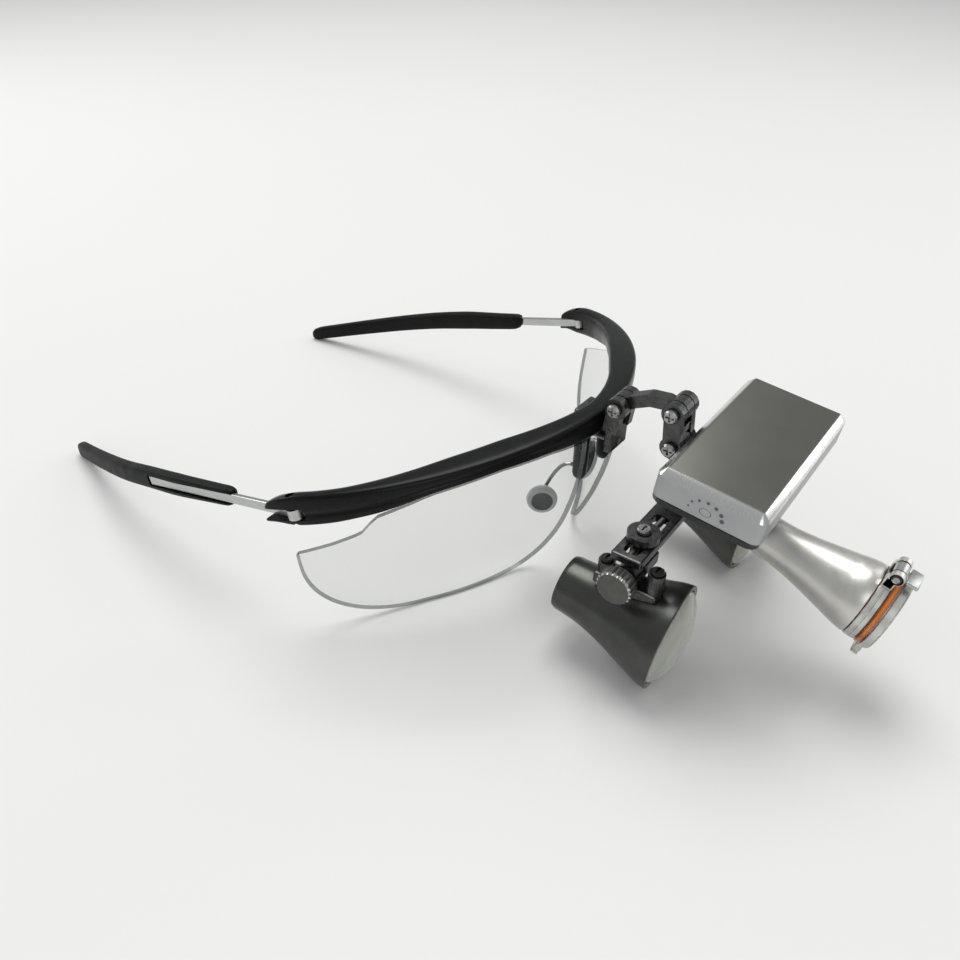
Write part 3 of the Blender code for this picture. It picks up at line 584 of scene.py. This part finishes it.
def nose_pad(label, side):
    """Soft pad with a raised rim round a dark oval, on a thin bright ring."""
    low, high = (Vector(v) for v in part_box("nose_pad_" + label))
    centre = (low + high) / 2
    turn = (Matrix.Rotation(side * radians(-38), 4, "Z") @ Matrix.Rotation(side * radians(20), 4, "Y")
            @ Matrix.Rotation(radians(-8), 4, "X"))
    place = Matrix.Translation(centre) @ turn @ Matrix.Rotation(side * radians(90), 4, "Y")
    profile = ((0.01, 0.35), (2.0, 0.45), (2.9, 0.62), (3.05, 1.0), (3.6, 1.1), (4.2, 0.75), (4.45, 0.1),
               (4.2, -0.5), (3.2, -0.85), (2.2, -0.95), (0.01, -0.95))
    sections = []
    for r, h in profile:
        sections.append([place @ (Vector((1.5 * r * cos(2 * pi * k / 56), r * sin(2 * pi * k / 56), h)) * MM)
                         for k in range(56)])
    verts, faces = rings(sections)
    bands = [0, 0, 0, 1, 1, 1, 1, 0, 0, 0]
    face_mats = [bands[i] for i in range(len(bands)) for _ in range(56)] + [0, 0]
    piece("silicone_pad_" + label, verts, faces, [PAD, PAD_RIM], "spectacle_frame", ("nose_pad_" + label,),
          face_mats, "sleeve_rubber", 50)


# ---------------------------------------------------------------- telescopes

def loupe_place(side):
    aim = Vector((side * sin(LOUPE_YAW), cos(LOUPE_PITCH), sin(LOUPE_PITCH))).normalized()
    return axis_frame(at(side * EYE[0], EYE[1], EYE[2]), aim)


def telescope(label, side):
    body = "loupe_" + label
    place = loupe_place(side)
    skin = curve_through([(r, -h, 0) for h, r in BARREL_PROFILE[1:]], 7)
    outer = [(7.0, 0.0), (7.35, -0.08)] + [(r, h) for r, h, _ in skin[:-1]]
    outer += [(14.58, -30.7), (14.35, -31.0)]
    inner = [(r - BARREL_WALL, h) for r, h in reversed(outer[3:-3])]
    rim = [(13.55, -31.0), (13.35, -30.8)]
    mouth = [(6.5, -1.0), (6.4, -0.15)]
    profile = outer + rim + inner + mouth
    # The rim at the objective end takes the bright edge metal: partly edge wear, partly a painted highlight.
    bands = [0] * len(outer) + [1] * 2 + [2] * (len(inner) + 1)
    bands += [0] * (len(profile) - len(bands))
    lathe("barrel_" + label, profile, place, [BARREL, EDGE_WEAR_AND_HIGHLIGHT, BARREL_BORE], body, 128, bands,
          replaced=("loupe_barrel_" + label,), slot="gunmetal", angle=38)
    front = place @ Matrix.Translation(Vector((0, 0, -BARREL_LENGTH)) * MM)
    reach = BARREL_PROFILE[-1][1] - BARREL_WALL - GAP
    angles = [radians(90 * k / 14) for k in range(15)]
    dome = [(max(reach * sin(a), 0.02), 1.1 - 5.2 * cos(a) ** 1.1) for a in angles]
    rear = [(reach, 1.7), (reach * 0.94, 2.2), (reach * 0.5, 2.0), (0.02, 1.9)]
    # The objective's whiteness is a painted reflection carried by the pale glass.
    lathe("objective_" + label, dome + rear, front, [OPTIC], body, 112, closed=False,
          replaced=("objective_lens_" + label,), slot="optic_glass", angle=50)
    lathe("objective_seat_" + label, ((reach - 0.05, 2.35), (reach - 0.05, 2.9), (reach - 1.6, 2.9),
                                      (reach - 1.6, 2.45)), front, [OPTIC_RING], body, 96, slot="gunmetal")


def knob(label, side):
    """Thumb knob with straight flutes round its rim and a plain face."""
    body = "knob_" + label
    pivot = JOINT[f"knob_{label}_turn"]
    place = axis_frame(Vector((side * KNOB_START * MM, pivot.y, pivot.z)), (side, 0, 0))

    def flute(turn, radius, height):
        if radius < FLUTED_RADIUS or not FLUTES_FROM < height < FLUTES_TO:
            return radius
        wave = 0.5 + 0.5 * cos(FLUTES * turn)
        return radius - FLUTE_DEPTH * wave ** 1.6

    profile = ((0.02, 14.6), (3.9, 14.6), (4.2, 14.5), (4.75, 14.0), (4.8, 13.2), (4.8, 12.0), (4.75, 11.1),
               (4.2, 10.5), (1.3, 10.4), (1.1, 10.2), (1.1, 0.2), (0.9, 0.0), (0.02, 0.0))
    # The chamfer round the face takes the bright edge metal: partly edge wear, partly a painted highlight.
    lathe("thumb_knob_" + label, profile, place, [KNOB, EDGE_WEAR_AND_HIGHLIGHT], body, FLUTES * 10,
          [0, 0, 1, 0, 0, 0, 0, 0, 0, 0, 0, 0], closed=False, shape=flute,
          replaced=("tilt_knob_" + label,), slot="screw_steel", angle=28)


# ---------------------------------------------------------------- headlight

def box_place():
    low, high = (Vector(v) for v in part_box("light_top_cover"))
    place = Matrix.Rotation(BOX_PITCH, 4, "X")
    place.translation = (low + high) / 2
    return place


def cover():
    place = box_place()
    width, depth, height = BOX_SIZE
    half = height / 2
    levels = ((-half, 0.25), (-half + 0.2, 0.0), (half - 2.0, 0.0), (half - 1.85, 0.08), (half - 0.12, 1.85),
              (half, 2.15))
    made = boxy("battery_cover", width, depth, levels, 2.3, place, [COVER, CHAMFER, COVER_END], "headlight",
                [0, 2, 1, 1, 0], replaced=("light_top_cover",), slot="cover_aluminium", angle=24)
    room = place @ Matrix.Translation(Vector((0, 0, -COVER_ROOM_DROP)) * MM)
    carve(made, helper(*brick((width - 2 * COVER_WALL, depth - 2 * COVER_WALL, height), room)))
    soften(made, 24)
    base_levels = ((-6.35, 0.9), (-6.1, 0.45), (-4.7, 0.35), (-4.4, 0.55))
    boxy("battery_base", width - 0.2, depth - 0.2, base_levels, 3.1, place, [HOUSING], "headlight",
         replaced=("light_base_housing",), slot="housing_black", angle=30)
    marks(place)


def marks(place):
    """A plain touch dial on the box's end face: dots on an arc round a ring."""
    end = -BOX_SIZE[0] / 2
    face = place @ Matrix.Translation(Vector((end, 0, 0)) * MM)
    verts = []
    faces = []
    for k in range(7):
        turn = radians(180 * k / 6)
        middle = Vector((0, 4.2 * cos(turn), -1.9 + 3.0 * sin(turn)))
        add_disc(verts, faces, face, middle, 0.28 + 0.05 * k)
    for k in range(28):
        turn = 2 * pi * k / 28
        add_disc(verts, faces, face, Vector((0, 1.4 * cos(turn), -1.7 + 1.0 * sin(turn))), 0.11)
    piece("touch_dial", verts, faces, [MARK], "headlight", slot="housing_black")


def add_disc(verts, faces, face, middle, radius):
    start = len(verts)
    count = 12
    for depth in (-0.03, 0.02):
        for k in range(count):
            turn = 2 * pi * k / count
            spot = middle + Vector((-depth, radius * cos(turn), radius * sin(turn)))
            verts.append(face @ (spot * MM))
    for k in range(count):
        j = (k + 1) % count
        faces.append((start + k, start + j, start + count + j, start + count + k))
    faces.append(tuple(start + k for k in range(count))[::-1])
    faces.append(tuple(start + count + k for k in range(count)))


def lamp_place(along=0.0):
    aim = Vector((0, -cos(LAMP_PITCH), -sin(LAMP_PITCH)))
    return axis_frame(at(0, *LAMP_START) + aim * along * MM, aim)


def lamp():
    place = lamp_place()
    knots = [(5.45, 0.6, 0), (5.6, 2.0, 0), (5.8, 7.0, 0), (6.7, 13.0, 0), (8.2, 20.0, 0), (9.5, 26.0, 0),
             (9.85, 28.6, 0)]
    skin = [(r, h) for r, h, _ in curve_through(knots, 6) if h < COLLAR_START - 0.1]
    collar = [(9.0, COLLAR_START), (9.08, 23.7), (9.55, 26.0), (9.88, 28.6), (9.7, LAMP_LENGTH)]
    outer = [(5.1, 0.0)] + skin + collar
    inner = [(9.0, LAMP_LENGTH), (8.6, 26.0), (7.2, 19.0), (5.3, 12.0), (4.7, 6.0), (4.7, 1.6), (1.6, 1.6),
             (1.6, 0)]
    lathe("lamp_cone", outer + inner, place, [LAMP], "headlight", 112, replaced=("lamp_barrel",),
          slot="lamp_silver", angle=40)
    start = lamp_place(LAMP_LENGTH + GAP)
    ring = [(9.75, 0.0), (9.95, 0.15), (10.0, 1.0), (9.8, 1.1), (9.8, 1.35), (10.0, 1.45), (10.0, 2.5),
            (9.75, RING_LENGTH), (8.75, RING_LENGTH), (8.6, 2.6), (8.6, 0.0)]
    lathe("lamp_front_ring", ring, start, [LAMP, EDGE_WEAR_AND_HIGHLIGHT], "headlight", 112, [0, 0, 1, 0, 1, 0, 1, 0, 0, 0, 0],
          slot="lamp_silver", angle=30)
    hinge = JOINT["filter_flip"]
    for label, side in SIDES:
        middle = hinge + Vector((side * EAR_ACROSS, 0, 0)) * MM
        boss = axis_frame(middle, (1, 0, 0))
        lathe("filter_ear_" + label, knuckle_outline(0.9), boss, [LAMP], "headlight", 40, slot="lamp_silver",
              angle=30)
        foot = lamp_place()
        foot.translation = middle - (foot.to_3x3() @ Vector((0, 2.0, 0.8))) * MM
        verts, faces = brick((1.8, 2.9, 2.5), foot)
        made = piece("filter_ear_foot_" + label, verts, faces, [LAMP], "headlight", slot="lamp_silver")
        bevel(made, 0.25)


def knuckle_outline(half):
    """Outline of a bored hinge knuckle with soft rims, half of its width either side of the middle."""
    side = half - 0.15
    return (1.1, -half), (1.55, -half), (1.7, -side), (1.7, side), (1.55, half), (1.1, half)


def bevel(made, width, segments=3):
    step = made.modifiers.new("bevel", "BEVEL")
    step.width = width * MM
    step.segments = segments
    step.limit_method = "ANGLE"
    step.angle_limit = radians(35)
    settle(made)
    soften(made, 40)
    return made


def filter_parts():
    start = lamp_place(LAMP_LENGTH + GAP + RING_LENGTH + GAP)
    ring = [(10.15, 1.5), (10.3, 1.65), (10.3, 3.15), (9.9, 3.6), (8.4, 3.6), (8.2, 3.4), (8.2, 1.5)]
    lathe("filter_ring", ring, start, [LAMP, EDGE_WEAR_AND_HIGHLIGHT], "filter", 112, [0, 0, 1, 0, 0, 0, 0],
          replaced=("filter_frame",), slot="strip_silver", angle=30)
    disc = ((0.02, 1.2), (9.9, 1.2), (10.1, 1.05), (10.1, 0.15), (9.9, 0.0), (0.02, 0.0))
    lathe("filter_glass", disc, start, [FILTER], "filter", 96, closed=False, replaced=("orange_filter",),
          slot="orange_filter", angle=30)
    knuckle = axis_frame(JOINT["filter_flip"], (1, 0, 0))
    lathe("filter_knuckle", knuckle_outline(1.8), knuckle, [STRIP], "filter", 48, slot="strip_silver",
          angle=30)
    plate("filter_neck", (3.4, 3.0, 1.8), start, 10.9, 2.45, 0.2)
    plate("filter_stalk", (3.4, 1.4, 3.0), start, 11.8, 1.7, 0.2)
    plate("filter_thumb", (6.2, 1.0, 3.0), start, 12.5, 2.55, 0.32)
    foot = start @ Matrix.Translation(Vector((0, -9.9, 2.6)) * MM) @ Matrix.Rotation(radians(90), 4, "X")
    levels = [(0.0, 0.0), (1.3, 0.0), (1.35, 0.22), (1.75, 0.22), (1.8, 0.0), (3.9, 0.0), (3.95, 0.22),
              (4.35, 0.22), (4.4, 0.0), (5.1, 0.0), (5.2, 0.12)]
    boxy("filter_tab", 4.4, 2.0, levels, 0.4, foot, [LAMP], "filter", slot="strip_silver", angle=25)


def plate(name, size, start, up, out, soft):
    """Small bevelled plate on the filter frame, placed by its rise and its depth."""
    place = start @ Matrix.Translation(Vector((0, up, out)) * MM)
    verts, faces = brick(size, place)
    return bevel(piece(name, verts, faces, [STRIP], "filter", slot="strip_silver"), soft)


# ---------------------------------------------------------------- CAD nodes that stay

def dress():
    """Give the CAD nodes that no piece replaces their finish, and bevels to the machined ones."""
    looks = {
        "nose_pad_arm": WIRE, "nose_pad_holder": STEEL, "temple_hinge_pin": STEEL, "temple_strip": STRIP,
        "bridge_bracket": GUNMETAL, "bracket_clamp_plate": GUNMETAL, "bracket_screw": STEEL,
        "upper_link": GUNMETAL, "lower_link": GUNMETAL, "hinge_screw": STEEL, "crossbar": GUNMETAL,
        "guide_rod": STEEL, "slider_block": GUNMETAL, "slider_lock_screw": STEEL, "loupe_saddle": GUNMETAL,
        "saddle_screw": OXIDE, "eyepiece_lens": OPTIC, "battery": CELL, "control_board": BOARD,
        "light_bracket": GUNMETAL, "light_pivot_screw": STEEL, "lamp_led_module": BOARD,
        "collimator_lens": OPTIC, "filter_hinge_pin": STEEL, "lamp_ring": LAMP,
    }
    machined = ("bridge", "upper", "lower", "crossbar", "slider", "loupe", "light", "temple", "bracket")
    for name, node in frame["nodes"].items():
        for start, mat in looks.items():
            if name.startswith(start):
                for slot_used in node.material_slots:
                    slot_used.material = mat
                if name.split("_")[0] in machined:
                    edge = node.modifiers.new("edge", "BEVEL")
                    edge.width = 0.26 * MM
                    edge.segments = 2
                    edge.limit_method = "ANGLE"
                    edge.angle_limit = radians(40)
                    edge.use_clamp_overlap = True
                    # The bevel faces of the gunmetal parts take the bright edge metal: partly edge wear,
                    # partly a painted highlight.
                    if mat is GUNMETAL:
                        node.data.materials.append(EDGE_WEAR_AND_HIGHLIGHT)
                        edge.material = len(node.data.materials) - 1


# ---------------------------------------------------------------- stage

def stage():
    """Round pale floor that curves up into a low wall on every side, so no edge shows."""
    profile = ((0.02, 0), (1.5, 0), (3.0, 0), (3.3, 0.03), (3.55, 0.15), (3.7, 0.4), (3.75, 0.7),
               (3.75, 1.0))
    count = 96
    turns = [2 * pi * k / count for k in range(count)]
    skin = [[(r * cos(turn), r * sin(turn), z) for turn in turns] for r, z in profile]
    verts, faces = rings(skin, closed_ends=False)
    faces.append(tuple(range(count)))
    mesh = bpy.data.meshes.new("studio_floor")
    mesh.from_pydata(verts, [], faces)
    floor = bpy.data.objects.new("studio_floor", mesh)
    bpy.context.scene.collection.objects.link(floor)
    soften(floor)
    mat, tree, shader = nodes_of("studio_white")
    tree.links.new(ramp(tree, noise(tree, 1.2, 2), (0.80, 0.80, 0.79), (0.82, 0.82, 0.81)),
                   shader.inputs["Base Color"])
    shader.inputs["Roughness"].default_value = 0.55
    shader.inputs["Specular IOR Level"].default_value = 0.3
    mesh.materials.append(mat)


def panel(name, location, target, size, power, color=(1, 1, 1)):
    light = bpy.data.lights.new(name, "AREA")
    light.shape = "RECTANGLE"
    light.size, light.size_y = size
    light.energy = power
    light.color = color
    made = bpy.data.objects.new(name, light)
    made.location = location
    aim = Vector(target) - Vector(location)
    made.rotation_euler = aim.to_track_quat("-Z", "Y").to_euler()
    bpy.context.scene.collection.objects.link(made)


def lights():
    world = bpy.data.worlds.new("studio")
    bpy.context.scene.world = world
    world.use_nodes = True
    back = world.node_tree.nodes["Background"]
    back.inputs["Color"].default_value = (0.93, 0.95, 0.96, 1)
    back.inputs["Strength"].default_value = 0.45
    centre = (0, -0.03, 0.02)
    panel("overhead", (0.45, 0.45, 1.75), centre, (1.2, 1.2), 21.0, (1, 0.995, 0.98))
    panel("front_fill", (-0.75, -0.75, 0.55), centre, (0.5, 0.5), 1.4)
    panel("rear_strip", (-0.15, 0.92, 0.50), centre, (0.5, 0.25), 1.6)
    panel("right_strip", (0.75, -0.55, 0.45), centre, (0.25, 0.9), 1.5)



def camera():
    data = bpy.data.cameras.new("photo_camera")
    data.sensor_width = 36.0
    data.lens = CAMERA_LENS
    data.clip_start = 0.01
    made = bpy.data.objects.new("photo_camera", data)
    bpy.context.scene.collection.objects.link(made)
    azimuth, down, roll = radians(CAMERA_AZIMUTH), radians(CAMERA_DOWN), radians(CAMERA_ROLL)
    ahead = Vector((cos(down) * cos(azimuth), cos(down) * sin(azimuth), -sin(down)))
    right = ahead.cross(Vector((0, 0, 1))).normalized()
    up = right.cross(ahead)
    right, up = right * cos(roll) + up * sin(roll), up * cos(roll) - right * sin(roll)
    place = Matrix((right, up, -ahead)).transposed().to_4x4()
    place.translation = at(*CAMERA_SPOT)
    made.matrix_world = place
    bpy.context.scene.camera = made


def color_management():
    view = bpy.context.scene.view_settings
    view.view_transform = "Standard"
    view.look = "None"


camera()
stage()
lights()
color_management()
brow_frame()
for side_label, side_sign in SIDES:
    lens(side_label, side_sign)
    sleeve(side_label, side_sign)
    nose_pad(side_label, side_sign)
    telescope(side_label, side_sign)
    knob(side_label, side_sign)
cover()
lamp()
filter_parts()
dress()
